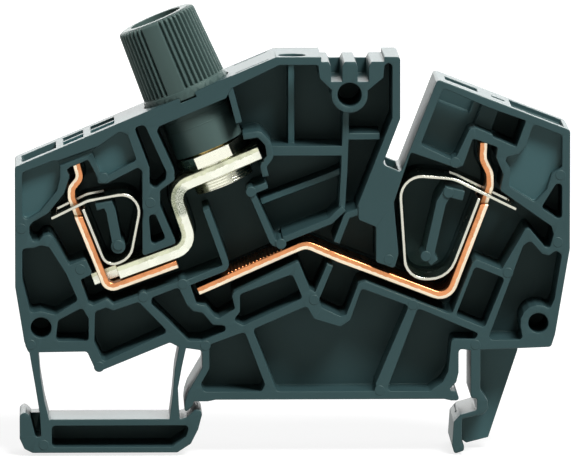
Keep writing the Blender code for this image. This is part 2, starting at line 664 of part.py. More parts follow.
LEFT_FOOT_LEGS = [
    [(-38.1, 6.8), (-36.9, 6.8), (-36.6, 3.0), (-36.1, -0.1), (-35.4, -3.0), (-36.5, -4.9), (-36.7, -1.6),
     (-37.2, 1.5)],
    [(-19.2, 7.6), (-18.3, 7.4), (-19.0, 4.2), (-19.5, 1.5), (-19.3, -2.8), (-20.6, -2.8), (-20.2, 0.5),
     (-19.9, 3.8)],
]
LEFT_FOOT_BAR = [
    (-35.6, -2.4), (-19.1, -2.4), (-18.4, -2.2), (-17.4, -1.3), (-16.7, -1.3), (-16.5, -1.8),
    (-17.0, -3.7), (-17.9, -5.5), (-19.6, -6.6), (-37.6, -6.6), (-38.6, -6.1), (-39.2, -4.8),
    (-39.2, -1.9), (-38.6, -1.4), (-37.9, -2.0), (-37.2, -4.7), (-36.4, -4.5),
]
LEFT_HOOK_WEB = [(-38.3, -2.2), (-36.2, -2.2), (-36.2, -5.2), (-37.9, -5.2)]
LEFT_FOOT_POCKET = [(-35.2, -3.2), (-18.1, -3.2), (-18.5, -4.6), (-20.3, -5.9), (-35.2, -5.9)]
RIGHT_FOOT = [
    (16.9, 7.0), (18.1, 7.0), (18.1, 1.1), (19.0, -0.2), (19.1, -1.2), (18.5, -1.9), (15.8, -2.5),
    (15.8, -5.8), (16.1, -5.8), (16.1, -6.5), (14.9, -6.9), (14.6, -5.9), (14.8, -2.9), (15.6, -2.0),
    (17.7, -1.4), (17.7, 0.1), (16.9, 0.1),
]
RIGHT_FOOT_WEB = [
    (17.4, 7.0), (23.0, 7.0), (23.0, 5.4), (19.35, -5.6), (16.6, -6.3), (15.3, -5.4), (15.3, -2.3), (17.8, -1.6),
]

COMB_GAPS = [(-0.5, 0.9), (2.8, 4.2)]
COMB_FLOOR = 39.7
COMB_TOP = 42.2
COMB_BARRIER = 1.0
COMB_FLARE = 0.3
COMB_FINGERS = (-1.7, 6.1)

RIM_RIBS = [
    [(-13.2, 39.6), (-11.9, 34.6)],
    [(-11.4, 32.9), (-9.4, 33.2), (-8.3, 32.0), (-8.0, 30.4), (-8.9, 29.2), (-8.6, 27.9)],
    [(-6.4, 20.0), (-0.6, 22.3), (1.1, 23.9)],
    [(3.4, 23.6), (1.5, 23.0), (0.2, 19.6)],
    [(-2.4, 12.5), (-0.6, 16.8)],
]
SPRING_POSTS = [
    [(-29.7, 24.3), (-28.3, 24.7), (-27.8, 23.6), (-27.0, 19.4)],
    [(16.0, 25.4), (14.0, 25.9), (13.2, 24.6), (11.7, 17.9), (12.4, 17.1)],
]
SUNK_RIBS = [
    [(1.5, 37.0), (1.2, 28.5), (0.9, 23.6)],
    [(1.0, 32.7), (5.6, 32.7)],
]
SUNK_WALL = [(-8.4, 30.9), (1.2, 30.9)]
LOW_RIBS = [
    [(-5.3, 42.3), (-5.3, 30.9)],
    [(-9.1, 24.2), (-0.6, 27.4), (1.2, 28.2)],
]
ROUND_POSTS = [((-26.9, 19.2), 0.9), ((4.2, 23.8), 1.5)]


def chamber_outline():
    """One wall round the clamps, the fuse channel, the tower and the bars."""
    return (LEFT_CLAMP_WALL + SOCKET_WALL + TOWER_WALL + CROSS_WALL + RIGHT_CLAMP_WALL + BAR_FLOOR
            + LEFT_CLAMP_FLOOR)


def housing():
    """The moulding: a rounded slab, hollowed by the chamber and pockets, with ribs, feet and openings."""
    body = prism("housing", [rounded(BODY_OUTLINE, 0.4)], FRONT, BACK, parts)
    cut(body, pockets("chamber", [chamber_outline()], CHAMBER_FLOOR - FRONT, 0.3))
    cut(body, pockets("small pockets", SMALL_POCKETS, SMALL_POCKET_DEPTH))
    cut(body, pockets("low pockets", LOW_POCKETS, LOW_POCKET_DEPTH))
    cut(body, pockets("shallow panels", SHALLOW_PANELS, SHALLOW_PANEL_DEPTH))
    cut(body, pockets("tip groove", [strip(TIP_GROOVE, TIP_GROOVE_WIDTH)], TIP_GROOVE_DEPTH, 0.1))
    cut(body, pockets("right panel", [RIGHT_PANEL], RIGHT_PANEL_DEPTH))
    cut(body, pockets("right step", [RIGHT_STEP], RIGHT_STEP_DEPTH, 0.1))
    cut(body, pockets("right well", [RIGHT_WELL], CHAMBER_FLOOR - FRONT, 0.2))
    add_free_ribs(body)
    cut_strip_tracks(body)
    cut_cap_seat(body)
    cut_locating_holes(body)
    cut_comb(body)
    cut_left_openings(body)
    cut_top_openings(body)
    cut_right_openings(body)
    add_left_foot(body)
    add_right_foot(body)
    return body


def add_free_ribs(body):
    """Ribs and posts that stand on the chamber's floor, at several heights below the rim."""
    foot = CHAMBER_FLOOR + OVERLAP
    groups = [
        ("rib", RIM_RIBS + fuse_channel_ribs(), RIB, RIB_DROP, RIB_BEND),
        ("spring post", SPRING_POSTS, THICK_RIB, RIB_DROP, 0.0),
        ("sunk rib", SUNK_RIBS, RIB, SUNK_RIB_DROP, RIB_BEND),
        ("sunk wall", [SUNK_WALL], THICK_RIB, SUNK_RIB_DROP, 0.0),
        ("low rib", LOW_RIBS, RIB, LOW_RIB_DROP, RIB_BEND),
    ]
    for label, paths, width, drop, bend in groups:
        for number, path in enumerate(paths):
            outline = strip(path, width, bend)
            join(body, prism(f"{label} {number}", [outline], FRONT + drop, foot, cutters))
    for number, (centre, radius) in enumerate(ROUND_POSTS):
        join(body, prism(f"post {number}", [circle(centre, radius, 16)], FRONT + RIB_DROP, foot, cutters))
    join(body, prism("comb boss", [circle(*COMB_BOSS, 32)], FRONT, foot, cutters))


def fuse_channel_ribs():
    """The two ribs beside the fuse, which end just below the nut's collar."""
    collar_foot = cap_heights()["collar_foot"]
    left = [on_cap_axis(collar_foot - 1.6, -3.34), (-13.4, 16.6), (-18.9, 14.4)]
    right = [on_cap_axis(collar_foot - 1.75, 4.83), on_cap_axis(collar_foot - 1.75, 2.68),
             (-7.6, 19.5), (-6.4, 19.5)]
    return [left, right]


def cut_strip_tracks(body):
    """Room round each strip, which also sinks a shallow track into the chamber's floor."""
    gap = 2 * CLEARANCE
    tracks = {
        "left bar": strip(left_bar_path(), COPPER + gap, COPPER_TIGHT_BEND, FINE_STEP),
        "socket bar": strip(socket_bar_path(), TINNED + gap, TINNED_BEND, FINE_STEP),
        "right bar": strip(right_bar_path(), COPPER + gap, COPPER_BEND, FINE_STEP),
        "left spring": strip(left_spring_path(), SPRING_STRIP + gap, LEFT_SPRING_BEND, FINE_STEP),
        "right spring": strip(right_spring_path(), SPRING_STRIP + gap, RIGHT_SPRING_BEND, FINE_STEP),
    }
    for name, outline in tracks.items():
        cut(body, prism(f"{name} track", [outline], FRONT - 1, STRIP_BACK + CLEARANCE, cutters))


def cut_cap_seat(body):
    """Seat for the cap's flange and the hole for its stem."""
    cut(body, axis_cylinder("flange seat", FLANGE_DIAMETER / 2 + SEAT_GAP, -FLANGE_SINK - SEAT_GAP, 2.0))
    cut(body, axis_cylinder("stem hole", STEM_DIAMETER / 2 + CLEARANCE, -SOCKET_DEPTH, 0.5))


def cut_locating_holes(body):
    """Blind round holes that take the pegs of the next block."""
    for number, (centre, radius) in enumerate(LOCATING_HOLES):
        cut(body, prism(f"locating hole {number}", [circle(centre, radius)], FRONT - 1, FRONT + 9, cutters))


def cut_comb(body):
    """Two gaps with flared mouths in the tower's top, closed by a low barrier at the back."""
    neck = COMB_TOP - 2 * COMB_FLARE
    top = TOWER_LEFT[1] + 1
    gaps = []
    mouths = []
    for left, right in COMB_GAPS:
        mouth = [(left, neck), (right, neck), (right + COMB_FLARE, COMB_TOP), (right + COMB_FLARE, top),
                 (left - COMB_FLARE, top), (left - COMB_FLARE, COMB_TOP)]
        gaps.append([(left, COMB_FLOOR), (right, COMB_FLOOR)] + mouth[1:] + [(left, neck)])
        mouths.append(mouth)
    cut(body, prism("comb gaps", gaps, FRONT - 1, BACK - COMB_BARRIER, cutters))
    cut(body, prism("comb mouths", mouths, BACK - 2 * COMB_BARRIER, BACK + 1, cutters))
    left, right = COMB_FINGERS
    step = [(left, COMB_TOP), (right, COMB_TOP), (right, top), (left, top)]
    cut(body, prism("comb step", [step], FRONT - 1, BACK + 1, cutters))


def slope_box(name, start, end, along, cross, depth, rise=1.0):
    """Straight-sided cutter sunk square into a sloping face; along and cross are (low, high) pairs."""
    outline = [on_slope(start, end, along[0], rise), on_slope(start, end, along[1], rise),
               on_slope(start, end, along[1], -depth), on_slope(start, end, along[0], -depth)]
    return prism(name, [outline], cross[0], cross[1], cutters)


def funnel(name, start, end, mouth, throat, taper_depth):
    """Four-sided cutter that narrows from a mouth, just above a sloping face, to a throat below it."""
    bm = bmesh.new()
    rings = []
    for (along, cross), up in ((mouth, 0.5), (throat, -taper_depth)):
        corners = [(along[0], cross[0]), (along[1], cross[0]), (along[1], cross[1]), (along[0], cross[1])]
        ring = []
        for distance, y in corners:
            x, z = on_slope(start, end, distance, up)
            ring.append(bm.verts.new((x, y, z)))
        rings.append(ring)
    bmesh.ops.convex_hull(bm, input=rings[0] + rings[1])
    return add_object(name, bm, cutters)


def cut_left_openings(body):
    """Wire funnel, label seat and screwdriver opening in the left slope."""
    slope = (LEFT_SHOULDER, TOWER_LEFT)
    mouth = ((0.8, 5.6), (-4.1, 3.4))
    throat = ((1.5, 4.9), (WIRE_THROAT_LOW, WIRE_THROAT_HIGH))
    cut(body, funnel("left wire funnel", *slope, mouth, throat, 4.0))
    cut(body, slope_box("left wire passage", *slope, *throat, 8.6, -3.5))
    for number, cross in enumerate(((-4.4, -0.9), (0.1, 3.6))):
        cut(body, slope_box(f"label seat {number}", *slope, (6.5, 9.2), cross, 0.8))
        slot = (max(cross[0], -4.0), cross[1])
        cut(body, slope_box(f"driver slot {number}", *slope, (10.2, 13.4), slot, 3.0))
    cut(body, slope_box("left driver passage", *slope, (10.5, 13.1), (-4.0, 3.6), 6.8, -2.6))


def cut_top_openings(body):
    """Grooves in the middle slope, the round test hole and the blind slot of the cross connector."""
    slope = (LEFT_SHOULDER, TOWER_LEFT)
    for number, cross in enumerate(((-4.9, -4.4), (4.4, 4.9))):
        cut(body, slope_box(f"groove {number}", *slope, (29.7, 34.1), cross, 0.5))
    bm = bmesh.new()
    matrix = Matrix.Translation((-5.3, -3.4, TOWER_LEFT[1]))
    bmesh.ops.create_cone(bm, cap_ends=True, segments=32, radius1=1.7, radius2=1.7, depth=4.0, matrix=matrix)
    cut(body, add_object("test hole", bm, cutters))
    slot_top = (8.2, 28.4)
    left = 1.9
    outline = [on_slope(slot_top, RIGHT_PEAK, 1.0, left), on_slope(slot_top, RIGHT_PEAK, 1.0, 0.3),
               on_slope(slot_top, RIGHT_PEAK, -3.0, 0.3), on_slope(slot_top, RIGHT_PEAK, -3.0, left)]
    cut(body, prism("cross connector slot", [outline], -4.8, 4.8, cutters))


def cut_right_openings(body):
    """Wire funnel and two slots in the right slope."""
    slope = (RIGHT_PEAK, RIGHT_SHOULDER)
    mouth = ((12.4, 16.9), (-4.1, 3.6))
    throat = ((12.8, 16.2), (WIRE_THROAT_LOW, WIRE_THROAT_HIGH))
    cut(body, funnel("right wire funnel", *slope, mouth, throat, 4.0))
    cut(body, slope_box("right wire passage", *slope, *throat, 11.4, -3.5))
    cut(body, slope_box("right wire mouth", *slope, (10.0, 17.0), (-4.4, 3.9), 0.55))
    cut(body, slope_box("long slot", *slope, (1.3, 5.6), (-2.0, 2.0), 3.0))
    cut(body, slope_box("short slot", *slope, (7.5, 9.2), (-1.2, 0.4), 3.0))


def add_left_foot(body):
    """Springy rail foot: two thin legs and a hooked bar with an open pocket."""
    back = FRONT + FOOT_WIDTH
    for number, leg in enumerate(LEFT_FOOT_LEGS):
        join(body, prism(f"foot leg {number}", [leg], FRONT, back, cutters))
    join(body, prism("foot bar", [rounded(LEFT_FOOT_BAR, 0.4)], FRONT, back, cutters))
    join(body, prism("hook web", [LEFT_HOOK_WEB], back - HOOK_WEB_WIDTH, back, cutters))
    cut(body, prism("foot pocket", [rounded(LEFT_FOOT_POCKET, CORNER_ROUND)], FRONT - 1, back - 1.0, cutters))


def add_right_foot(body):
    """Stiffer rail foot: an S-shaped wall across the whole width with a web behind it."""
    join(body, prism("right foot", [rounded(RIGHT_FOOT, 0.3)], FRONT, BACK, cutters))
    join(body, prism("right foot web", [RIGHT_FOOT_WEB], BACK - WEB_WIDTH, BACK, cutters))


def smooth(name):
    """Shade a bent or turned piece smooth, with its real edges kept sharp."""
    mesh = bpy.data.objects[name].data
    mesh.shade_smooth()
    mesh.set_sharp_from_angle(angle=math.radians(2 * FINE_STEP))


def finish_looks():
    """Give each piece its material and smooth the round ones."""
    looks = {
        "housing": ("moulded polyamide", (0.075, 0.115, 0.118), 0.45, 0.0),
        "fuse_cap": ("cap polyamide", (0.1, 0.15, 0.145), 0.5, 0.0),
        "left_clamp_bar": ("left copper", (0.8, 0.45, 0.28), 0.3, 1.0),
        "right_current_bar": ("right copper", (0.8, 0.45, 0.28), 0.3, 1.0),
        "socket_bar": ("tinned copper", (0.75, 0.75, 0.62), 0.3, 1.0),
        "socket_nut": ("nickel", (0.8, 0.8, 0.76), 0.25, 1.0),
        "cap_contact_sleeve": ("brass", (0.75, 0.62, 0.3), 0.3, 1.0),
        "cap_contact_disc": ("contact brass", (0.75, 0.62, 0.3), 0.3, 1.0),
        "cap_pressure_spring": ("spring wire", (0.6, 0.6, 0.6), 0.3, 1.0),
        "left_clamp_spring": ("left spring steel", (0.75, 0.75, 0.72), 0.25, 1.0),
        "right_clamp_spring": ("right spring steel", (0.75, 0.75, 0.72), 0.25, 1.0),
    }
    for name, (label, colour, roughness, metallic) in looks.items():
        bpy.data.objects[name].data.materials.append(material(label, colour, roughness, metallic))
        if name != "housing":
            smooth(name)


def main():
    """Build every piece of the terminal block."""
    start_scene()
    housing()
    left_clamp_bar()
    socket_bar()
    right_current_bar()
    clamp_spring("left_clamp_spring", left_spring_path(), LEFT_SPRING_BEND, 7.1)
    clamp_spring("right_clamp_spring", right_spring_path(), RIGHT_SPRING_BEND, 9.0)
    socket_nut()
    fuse_cap()
    cap_contact_sleeve()
    cap_contact_disc()
    cap_pressure_spring()
    finish_looks()
    bpy.context.view_layer.update()


if __name__ == "__main__":
    main()
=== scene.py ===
"""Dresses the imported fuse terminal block: edges, marks, threads and finishes, on a pale studio floor."""

import json
import math

import bmesh
import bpy
from mathutils import Matrix, Vector


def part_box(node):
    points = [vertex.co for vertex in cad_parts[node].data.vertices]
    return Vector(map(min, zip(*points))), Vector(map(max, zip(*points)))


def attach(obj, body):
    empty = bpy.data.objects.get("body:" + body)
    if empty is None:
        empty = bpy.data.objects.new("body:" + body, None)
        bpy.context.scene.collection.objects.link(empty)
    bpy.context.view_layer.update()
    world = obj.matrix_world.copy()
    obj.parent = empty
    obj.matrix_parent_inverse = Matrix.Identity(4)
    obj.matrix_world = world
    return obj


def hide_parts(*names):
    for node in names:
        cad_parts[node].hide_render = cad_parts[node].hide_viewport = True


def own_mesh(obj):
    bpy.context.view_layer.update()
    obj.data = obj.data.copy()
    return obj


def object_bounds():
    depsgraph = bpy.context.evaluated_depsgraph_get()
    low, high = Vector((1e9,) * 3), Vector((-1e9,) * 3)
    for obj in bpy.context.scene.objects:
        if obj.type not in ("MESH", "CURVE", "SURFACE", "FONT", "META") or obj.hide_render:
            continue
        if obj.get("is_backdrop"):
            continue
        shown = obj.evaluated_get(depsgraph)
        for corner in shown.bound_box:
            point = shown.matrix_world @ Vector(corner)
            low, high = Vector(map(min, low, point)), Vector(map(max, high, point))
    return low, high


bl_info = {
    "name": "Fuse terminal block",
    "version": (1, 0, 0),
    "blender": (4, 5, 0),
    "location": "3D View > Sidebar > Terminal block",
    "description": "Finishes a rail-mounted fuse terminal block with a screw-in cap",
    "category": "Object",
}

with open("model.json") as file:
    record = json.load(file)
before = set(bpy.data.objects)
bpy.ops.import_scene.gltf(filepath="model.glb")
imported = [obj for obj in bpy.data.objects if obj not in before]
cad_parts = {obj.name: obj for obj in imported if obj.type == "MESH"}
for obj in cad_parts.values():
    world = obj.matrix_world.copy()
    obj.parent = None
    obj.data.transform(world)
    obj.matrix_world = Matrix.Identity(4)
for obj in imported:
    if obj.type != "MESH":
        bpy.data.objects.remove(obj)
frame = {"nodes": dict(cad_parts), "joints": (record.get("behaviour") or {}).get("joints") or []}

MM = 0.001
FRONT_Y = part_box("housing")[0].y
JOINTS = {joint["name"]: joint for joint in frame["joints"]}
CAP_AXIS = Vector(JOINTS["cap_turn"]["axis"]).normalized()
CAP_POINT = Vector(JOINTS["cap_turn"]["pos_m"])
STRIP_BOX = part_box("right_current_bar")
STRIP_WIDTH = STRIP_BOX[1].y - STRIP_BOX[0].y
STRIP_MIDDLE_Y = (STRIP_BOX[1].y + STRIP_BOX[0].y) / 2

# The photograph's width in pixels, and how many of them a millimetre along the block takes.
FRAME_WIDTH = 571
PIXELS_PER_MM = 8.06

# Depths behind the open side, in millimetres, of the webs and panel floors off mould inserts with a high polish:
# they shine more, and their colour is painted lighter to stand for the light that they catch.
PANEL_DEPTH = (1.55, 1.65)
WEB_DEPTH = (4.95, 5.85)

# The cap's fluted grip: radius over the ridges at the top, its growth down to the foot, and the foot's height.
GRIP_RADIUS = 5.0
GRIP_TAPER = 0.35
GRIP_FOOT = 0.6

# Ends of the knurl under the fuse and the middle of the socket bar's upper bend, along and up.
KNURL_ENDS = ((-13.2, 15.62), (-6.6, 18.53))
UPPER_BEND = (-19.4, 24.7)
BEND_REACH = 2.1

# Where the ejector pins press, along and up.
RIB_PINS = ((-2.6, 12.5), (9.7, 11.8), (5.6, 1.1), (27.7, 19.6), (28.0, 28.0), (14.9, 29.6),
            (21.5, 15.8), (-23.8, 12.9), (-18.9, 14.5), (-28.7, 27.8), (-38.9, 21.5), (-37.8, 7.0),
            (-29.3, 4.2), (-16.1, 6.8), (-36.2, -5.6), (17.5, 6.8), (-6.7, 19.5), (-10.4, 26.0),
            (6.7, 17.5), (14.1, 25.8), (11.3, 17.9), (-26.9, 19.4), (-31.6, 16.4), (-22.9, 24.7))
BOSS_LENGTH = 6.0
BOSS_PROUD = 0.04


def linear(hex_colour):
    """An sRGB colour such as "8a5c31" as linear red, green and blue."""
    values = [int(hex_colour[index:index + 2], 16) / 255 for index in (0, 2, 4)]
    return tuple(v / 12.92 if v <= 0.04045 else ((v + 0.055) / 1.055) ** 2.4 for v in values)


# Settings

def colour(name, description, hex_colour):
    """A colour setting with its default given as sRGB."""
    return bpy.props.FloatVectorProperty(name=name, description=description, default=linear(hex_colour),
                                         subtype="COLOR", size=3, min=0.0, max=1.0)


def length(name, description, millimetres):
    """A length setting with its default given in millimetres."""
    return bpy.props.FloatProperty(name=name, description=description, default=millimetres * MM,
                                   subtype="DISTANCE", unit="LENGTH", min=0.0, precision=5)


def angle(name, description, degrees):
    """An angle setting with its default given in degrees."""
    return bpy.props.FloatProperty(name=name, description=description, default=math.radians(degrees),
                                   subtype="ANGLE", unit="ROTATION")


class TerminalBlockSettings(bpy.types.PropertyGroup):
    """Sizes and colours of the terminal block's visible finish."""

    moulding: colour("Moulding", "Slate green polyamide of the block", "344d50")
    # Painted light: this lighter copy of the moulding colour stands for the light that the shallow panel floors
    # and webs catch.
    panels: colour("Panels", "The same polyamide off polished mould faces", "3f6064")
    cap: colour("Cap", "Grey green polyamide of the fuse cap", "4b5f5c")
    copper: colour("Copper", "Bare rolled copper of the clamp bars", "e89c68")
    # Painted highlight: a near-white band on the smooth, die-cut share of the copper bars' cut edge.
    sheared_copper_highlight: colour("Sheared copper", "Bright band on the cut edge of the copper bars", "f8e8cc")
    tin: colour("Tin", "Bright tin on the socket bar", "e0e3c4")
    # Painted highlight: a near-white band on the smooth, die-cut share of the tinned bar's cut edge.
    sheared_tin_highlight: colour("Sheared tin", "Bright band on the cut edge of the tinned bar", "f3f5e4")
    # Painted shade: a dark grainy patch on the socket bar's upper bend, where the bend falls into shade.
    bend_shade_tin: colour("Strained tin", "Dull grain of the tin on the bar's upper bend", "55624f")
    steel: colour("Spring steel", "Bright stainless clamp springs", "cfcfc0")
    nickel: colour("Nickel", "Plating of the socket nut", "f0f0de")
    brass: colour("Brass", "Turned brass of the threaded sleeve", "d8bd78")
    moulding_edge: length("Moulding edge", "Radius that the tool leaves on moulded edges", 0.09)
    metal_edge: length("Metal edge", "Radius on the stamped edges of the strips", 0.09)
    thread_pitch: length("Thread pitch", "Distance between the turns on the nut's collar", 0.34)
    knurl_pitch: length("Knurl pitch", "Distance between the ridges across the right bar", 0.47)
    pin_radius: length("Pin radius", "Radius of the bosses under the ejector pins", 0.66)
    camera_distance: length("Camera distance", "From the camera to the open side", 1143.0)
    camera_azimuth: angle("Camera azimuth", "Turn of the camera about the block", -1.46)
    camera_elevation: angle("Camera elevation", "Height of the camera's view", 6.95)


# Materials

def add_node(tree, kind, inputs=None, **settings):
    """Add a node, set its options, and set or link its inputs."""
    made = tree.nodes.new(kind)
    for name, value in settings.items():
        setattr(made, name, value)
    for socket, value in (inputs or {}).items():
        if isinstance(value, bpy.types.NodeSocket):
            tree.links.new(value, made.inputs[socket])
        else:
            made.inputs[socket].default_value = value
    return made


def shader_of(name):
    """A new material with its tree and Principled shader."""
    made = bpy.data.materials.new(name)
    made.use_nodes = True
    return made, made.node_tree, made.node_tree.nodes["Principled BSDF"]


def pattern_place(tree, stretch=(1.0, 1.0, 1.0)):
    """Object coordinates, stretched for a pattern that runs one way."""
    place = add_node(tree, "ShaderNodeTexCoord")
    mapped = add_node(tree, "ShaderNodeMapping", {"Vector": place.outputs["Object"], "Scale": stretch})
    return mapped.outputs[0]


def per_size(millimetres):
    """Noise scale whose features have this size."""
    return 1.0 / (millimetres * MM)


def mixed(tree, factor, first, second):
    """Mix of two colours, each a value or a linked colour."""
    mix = add_node(tree, "ShaderNodeMix", {"Factor": factor, 6: first, 7: second}, data_type="RGBA")
    return mix.outputs[2]


def tinted(tree, base, factor, darker, lighter):
    """The base colour, varied between a darker and a lighter share of itself."""
    low = (*[channel * darker for channel in base], 1.0)
    high = (*[min(1.0, channel * lighter) for channel in base], 1.0)
    return mixed(tree, factor, low, high)


def moulded_polyamide(name, base, roughness):
    """Injection-moulded polyamide: satin, faintly uneven in tone, with the tool's fine spark-eroded grain."""
    made, tree, shader = shader_of(name)
    place = pattern_place(tree)
    cloud = add_node(tree, "ShaderNodeTexNoise", {"Vector": place, "Scale": per_size(9.0), "Detail": 3.0})
    grain = add_node(tree, "ShaderNodeTexNoise", {"Vector": place, "Scale": per_size(0.16), "Detail": 2.0})
    tree.links.new(tinted(tree, base, cloud.outputs["Fac"], 0.9, 1.1), shader.inputs["Base Color"])
    rough = add_node(tree, "ShaderNodeMapRange", {"Value": grain.outputs["Fac"], "To Min": roughness - 0.07,
                                                  "To Max": roughness + 0.07})
    tree.links.new(rough.outputs["Result"], shader.inputs["Roughness"])
    bump = add_node(tree, "ShaderNodeBump", {"Height": grain.outputs["Fac"], "Strength": 0.25,
                                             "Distance": 0.01 * MM})
    tree.links.new(bump.outputs["Normal"], shader.inputs["Normal"])
    shader.inputs["IOR"].default_value = 1.53
    shader.inputs["Specular IOR Level"].default_value = 0.36
    shader.inputs["Specular Tint"].default_value = (*linear("e2f5e6"), 1.0)
    return made


def cut_edge_highlight(tree, colour, bright, share):
    """Colour of a strip with a painted highlight, near white, over the smooth share of its cut edge that the die
    cut clean.
    """
    across = add_node(tree, "ShaderNodeAttribute", attribute_name="across")
    # The break wanders by about a tenth of the strip's thickness, over bumps of 0.6 mm.
    wander = add_node(tree, "ShaderNodeTexNoise", {"Vector": pattern_place(tree), "Scale": per_size(0.6)})
    shift = add_node(tree, "ShaderNodeMath", {0: wander.outputs["Fac"], 1: 0.25, 2: -0.125},
                     operation="MULTIPLY_ADD")
    place = add_node(tree, "ShaderNodeMath", {0: across.outputs["Fac"], 1: shift.outputs[0]})
    begins = add_node(tree, "ShaderNodeMapRange", {"Value": place.outputs[0], "From Min": 0.93 - share,
                                                   "From Max": 1.0 - share})
    ends = add_node(tree, "ShaderNodeMapRange", {"Value": across.outputs["Fac"], "From Min": 0.99,
                                                 "From Max": 0.94})
    band = add_node(tree, "ShaderNodeMath", {0: begins.outputs["Result"], 1: ends.outputs["Result"]},
                    operation="MULTIPLY")
    return mixed(tree, band.outputs[0], colour, (*bright, 1.0))


def painted_bend_shade(tree, colour, bend_shade):
    """Colour of the tinned strip with painted shade on its upper bend, broken up into grains."""
    place = add_node(tree, "ShaderNodeTexCoord")
    bend = Vector((UPPER_BEND[0] * MM, STRIP_BOX[0].y, UPPER_BEND[1] * MM))
    away = add_node(tree, "ShaderNodeVectorMath", {0: place.outputs["Object"], 1: bend}, operation="DISTANCE")
    near = add_node(tree, "ShaderNodeMapRange", {"Value": away.outputs["Value"], "From Min": BEND_REACH * MM,
                                                 "From Max": BEND_REACH * MM * 0.75})
    # The painted shade is broken up into grains of 0.14 mm, coarse enough to show.
    # Grains of 0.14 mm, coarser than the real crackle, so that they show.
    grain = add_node(tree, "ShaderNodeTexNoise", {"Vector": pattern_place(tree), "Scale": per_size(0.14)})
    shade_grains = add_node(tree, "ShaderNodeMapRange", {"Value": grain.outputs["Fac"], "From Min": 0.8,
                                                    "From Max": 0.3})
    share = add_node(tree, "ShaderNodeMath", {0: near.outputs["Result"], 1: shade_grains.outputs["Result"]},
                     operation="MULTIPLY")
    return mixed(tree, share.outputs[0], colour, (*bend_shade, 1.0))


def rolled_metal(name, base, roughness, bright=None, share=0.5, cloudy=0.88, bend_shade=None):
    """Rolled and stamped strip: lines of 0.05 mm along the strip and a slightly clouded shine."""
    made, tree, shader = shader_of(name)
    lines = pattern_place(tree, (0.03, 1.0, 0.03))
    rolled = add_node(tree, "ShaderNodeTexNoise", {"Vector": lines, "Scale": per_size(0.05), "Detail": 2.0})
    cloud = add_node(tree, "ShaderNodeTexNoise", {"Vector": pattern_place(tree), "Scale": per_size(1.4),
                                                  "Detail": 4.0})
    patches = add_node(tree, "ShaderNodeMapRange", {"Value": cloud.outputs["Fac"], "From Min": 0.36,
                                                    "From Max": 0.6})
    colour = tinted(tree, base, patches.outputs["Result"], cloudy, 1.03)
    # The band on the cut edge is a painted highlight.
    if bright:
        colour = cut_edge_highlight(tree, colour, bright, share)
    # Painted shade on the bar's upper bend.
    if bend_shade:
        colour = painted_bend_shade(tree, colour, bend_shade)
    tree.links.new(colour, shader.inputs["Base Color"])
    rough = add_node(tree, "ShaderNodeMapRange", {"Value": cloud.outputs["Fac"], "From Min": 0.3,
                                                  "From Max": 0.7, "To Min": roughness - 0.06,
                                                  "To Max": roughness + 0.08})
    tree.links.new(rough.outputs["Result"], shader.inputs["Roughness"])
    bump = add_node(tree, "ShaderNodeBump", {"Height": rolled.outputs["Fac"], "Strength": 0.4,
                                             "Distance": 0.002 * MM})
    tree.links.new(bump.outputs["Normal"], shader.inputs["Normal"])
    shader.inputs["Metallic"].default_value = 1.0
    return made


# Shaping

def copied(node):
    """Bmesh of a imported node, merged, with edges too short to round closed up and flat faces evenly divided."""
    bm = bmesh.new()
    bm.from_mesh(frame["nodes"][node].data)
    bmesh.ops.remove_doubles(bm, verts=bm.verts, dist=0.03 * MM)
    inside_flats = [edge for edge in bm.edges
                    if edge.is_manifold and edge.calc_face_angle() < math.radians(0.2)]
    bmesh.ops.beautify_fill(bm, faces=bm.faces, edges=inside_flats)
    return bm


def finished(name, bm, materials, body, nodes=(), edge=0.0, smooth_below=35.0):
    """Turn a bmesh into a piece that rides on a body, with rounded edges and smooth curved faces."""
    mesh = bpy.data.meshes.new(name)
    bm.to_mesh(mesh)
    bm.free()
    for material in materials:
        mesh.materials.append(material)
    piece = bpy.data.objects.new(name, mesh)
    bpy.context.scene.collection.objects.link(piece)
    mesh.shade_smooth()
    mesh.set_sharp_from_angle(angle=math.radians(smooth_below))
    if edge:
        bevel = piece.modifiers.new("rounded edges", "BEVEL")
        bevel.width = edge
        bevel.segments = 2
        bevel.limit_method = "ANGLE"
        bevel.angle_limit = math.radians(38)
        bevel.use_clamp_overlap = False
        bevel.loop_slide = False
        bevel.face_strength_mode = "FSTR_ALL"
        flats = piece.modifiers.new("flats stay flat", "WEIGHTED_NORMAL")
        flats.use_face_influence = True
        flats.keep_sharp = True
    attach(piece, body)
    if nodes:
        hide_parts(*nodes)
    return piece


def polished_lit_floors(bm):
    """Give the second material to the shallow panel floors and webs: a smoother shine off mould inserts with a
    high polish, and a lighter colour that is painted light.
    """
    for face in bm.faces:
        behind = (face.calc_center_median().y - FRONT_Y) / MM
        if face.normal.y < -0.95 and any(low < behind < high for low, high in (PANEL_DEPTH, WEB_DEPTH)):
            face.material_index = 1


def number_sides(bm):
    """Mark a strip's points 0 on its inner broad side and 1 on its outer one, for the painted highlight band on
    its cut edge.
    """
    across = bm.verts.layers.float.new("across")
    waiting = {face for face in bm.faces if abs(face.normal.y) < 0.5}
    sides = []
    while waiting:
        side = [waiting.pop()]
        for face in side:
            for edge in face.edges:
                if edge.calc_face_angle(math.pi) < math.radians(38):
                    near = waiting.intersection(edge.link_faces)
                    waiting -= near
                    side.extend(near)
        sides.append(side)
    sides.sort(key=lambda side: sum(face.calc_area() for face in side))
    for face in sides[-1]:
        for vert in face.verts:
            vert[across] = 1.0


def up_axis(point):
    """How far a point lies above the cap's seat, along the cap's axis."""
    return (point - CAP_POINT).dot(CAP_AXIS)


def from_axis(point):
    """The part of a point's place that stands square to the cap's axis."""
    return point - CAP_POINT - CAP_AXIS * up_axis(point)


